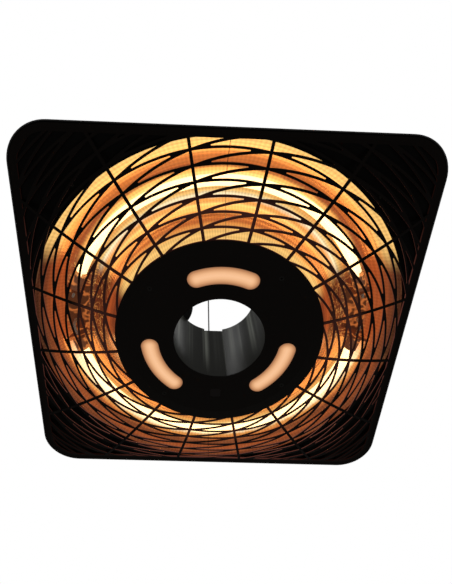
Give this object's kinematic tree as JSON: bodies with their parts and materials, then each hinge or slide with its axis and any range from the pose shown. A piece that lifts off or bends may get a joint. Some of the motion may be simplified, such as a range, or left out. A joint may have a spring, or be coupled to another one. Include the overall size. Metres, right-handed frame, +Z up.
{
  "type": "hanging patio heater",
  "caption": "Hanging patio heater: a square stepped black shade with glowing ring lamps behind a square domed guard with wave slots, lit windows in the hub, three steel wires and a snap hook.",
  "frame": {"origin": "the seat inside the hanging hook, where a ceiling hook or shackle carries the heater", "axes": "+Z up along the suspension; +X to the right and +Y away for someone who looks up at the heater from its near side"},
  "size_m": [0.43, 0.43, 0.51],
  "materials": {
    "black_enamel": "satin black enamel",
    "guard_black": "matt heat-proof black",
    "tube_enamel": "glossy dark grey enamel",
    "galvanised_steel": "galvanised sheet",
    "hammered_reflector": "polished, finely hammered",
    "black_fasteners": "blackened steel",
    "steel_fasteners": "zinc-plated steel",
    "lamp_glass": "clear amber quartz, lit",
    "filament": "glowing tungsten",
    "steatite": "unglazed white ceramic",
    "lead_sleeve": "woven heat-proof sleeve",
    "amber_lens": "milky amber diffuser, lit",
    "board_green": "circuit board",
    "chip_yellow": "light-emitting chips",
    "sensor_red": "dark infrared-clear plastic",
    "black_plastic": "moulded black plastic",
    "relay_blue": "moulded blue plastic",
    "white_plastic": "moulded white plastic",
    "box_plastic": "moulded black plastic, fine texture",
    "black_rubber": "black rubber",
    "bright_steel": "bright steel"
  },
  "bodies": {
    "hook": {"hook": "bright_steel", "gate_pin": "bright_steel", "gate_spring": "bright_steel", "swivel_washer": "bright_steel", "swivel_nut": "bright_steel"},
    "gate": {"gate": "bright_steel"},
    "heater": {"shade": "black_enamel", "bezel_plate": "black_enamel", "hub_cover": "black_enamel", "guard": "guard_black", "centre_tube": "tube_enamel", "core_drum": "galvanised_steel", "led_tray": "galvanised_steel", "core_shelf": "galvanised_steel", "heat_shield": "galvanised_steel", "lamp_holder_right": "galvanised_steel", "lamp_holder_left": "galvanised_steel", "reflector_right": "hammered_reflector", "reflector_left": "hammered_reflector", "skirt_rivets": "black_fasteners", "hub_screws": "black_fasteners", "lid_screws": "black_fasteners", "reflector_rivets": "steel_fasteners", "roof_screws": "steel_fasteners", "roof_nuts": "steel_fasteners", "anchor_screws": "steel_fasteners", "box_screws": "steel_fasteners", "hub_posts": "steel_fasteners", "lamp_tube_near": "lamp_glass", "lamp_tube_far": "lamp_glass", "filament_near": "filament", "filament_far": "filament", "lamp_caps": "steatite", "lamp_terminals": "steatite", "lamp_leads": "lead_sleeve", "led_lenses": "amber_lens", "led_boards": "board_green", "control_board": "board_green", "led_chips": "chip_yellow", "sensor_window": "sensor_red", "sensor_receiver": "black_plastic", "board_spacers": "black_plastic", "light_driver": "black_plastic", "board_capacitors": "black_plastic", "switch_frame": "black_plastic", "power_relay": "relay_blue", "board_connector": "white_plastic", "terminal_block": "white_plastic", "junction_box": "box_plastic", "box_lid": "box_plastic", "gland_body": "box_plastic", "gland_dome": "box_plastic", "gland_locknut": "box_plastic", "box_grommet": "black_rubber", "box_gasket": "black_rubber", "gland_seal": "black_rubber", "wire_anchors": "bright_steel", "hanging_wires": "bright_steel", "crown_plate": "bright_steel"},
    "rocker": {"rocker_switch": "black_plastic"}
  },
  "joints": [
    {"name": "heater_swivel", "type": "hinge", "parent": "hook", "child": "heater", "pos_m": [0, 0, -0.0685], "axis": [0, 0, 1], "continuous": true},
    {"name": "gate_hinge", "type": "hinge", "parent": "hook", "child": "gate", "pos_m": [0.00951, 0, -0.02709], "axis": [0, -1, 0], "range_deg": [0, 30], "stiffness_Nm_per_rad": 0.02, "springref_deg": -17.19},
    {"name": "rocker_hinge", "type": "hinge", "parent": "heater", "child": "rocker", "pos_m": [-0.064, 0.017, -0.371], "axis": [0, 1, 0], "range_deg": [0, 24]}
  ]
}
